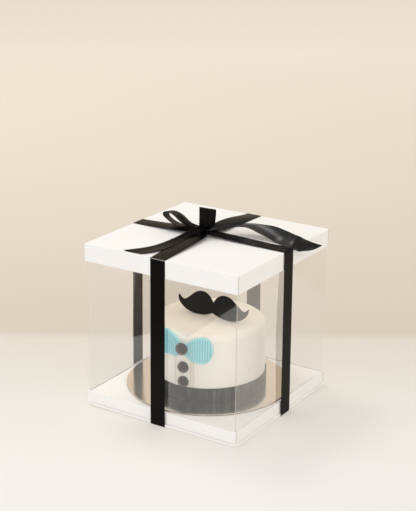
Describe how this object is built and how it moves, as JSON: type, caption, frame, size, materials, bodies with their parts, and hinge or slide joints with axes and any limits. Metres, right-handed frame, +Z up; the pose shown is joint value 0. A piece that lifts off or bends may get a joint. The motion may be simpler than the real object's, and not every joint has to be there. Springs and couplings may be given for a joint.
{
  "type": "mini cake in a clear gift box",
  "caption": "Round fondant-covered mini cake with a bow tie, buttons and a moustache topper, shut in a clear-walled card gift box tied with satin ribbon.",
  "frame": {"origin": "on the surface that the box stands on, under the middle of its base", "axes": "+Z up; the cake's front, with its bow tie and buttons, faces -Y; +X is to the right of it"},
  "size_m": [0.2276, 0.2044, 0.2282],
  "materials": {
    "white_card": "smooth matt white card",
    "clear_film": "clear glossy plastic sheet",
    "foil_board": "polished metallic foil on board",
    "ivory_fondant": "smooth matt sugar paste",
    "charcoal_fondant": "matt dark sugar paste",
    "turquoise_fondant": "matt sugar paste with pressed ribs",
    "black_topper": "matt black sheet",
    "satin_ribbon": "black satin weave"
  },
  "bodies": {
    "root": {"base_board": "white_card", "base_tray": "white_card", "card_riser": "white_card", "lid": "white_card", "clear_sleeve": "clear_film", "cake_board": "foil_board", "cake": "ivory_fondant", "shirt_placket": "ivory_fondant", "waist_band": "charcoal_fondant", "button_top": "charcoal_fondant", "button_middle": "charcoal_fondant", "button_bottom": "charcoal_fondant", "bow_tie": "turquoise_fondant", "moustache_topper": "black_topper", "ribbon_wrap": "satin_ribbon", "bow_knot": "satin_ribbon", "bow_loop_left": "satin_ribbon", "bow_loop_right": "satin_ribbon", "bow_tail_left": "satin_ribbon", "bow_tail_right": "satin_ribbon"}
  },
  "joints": []
}
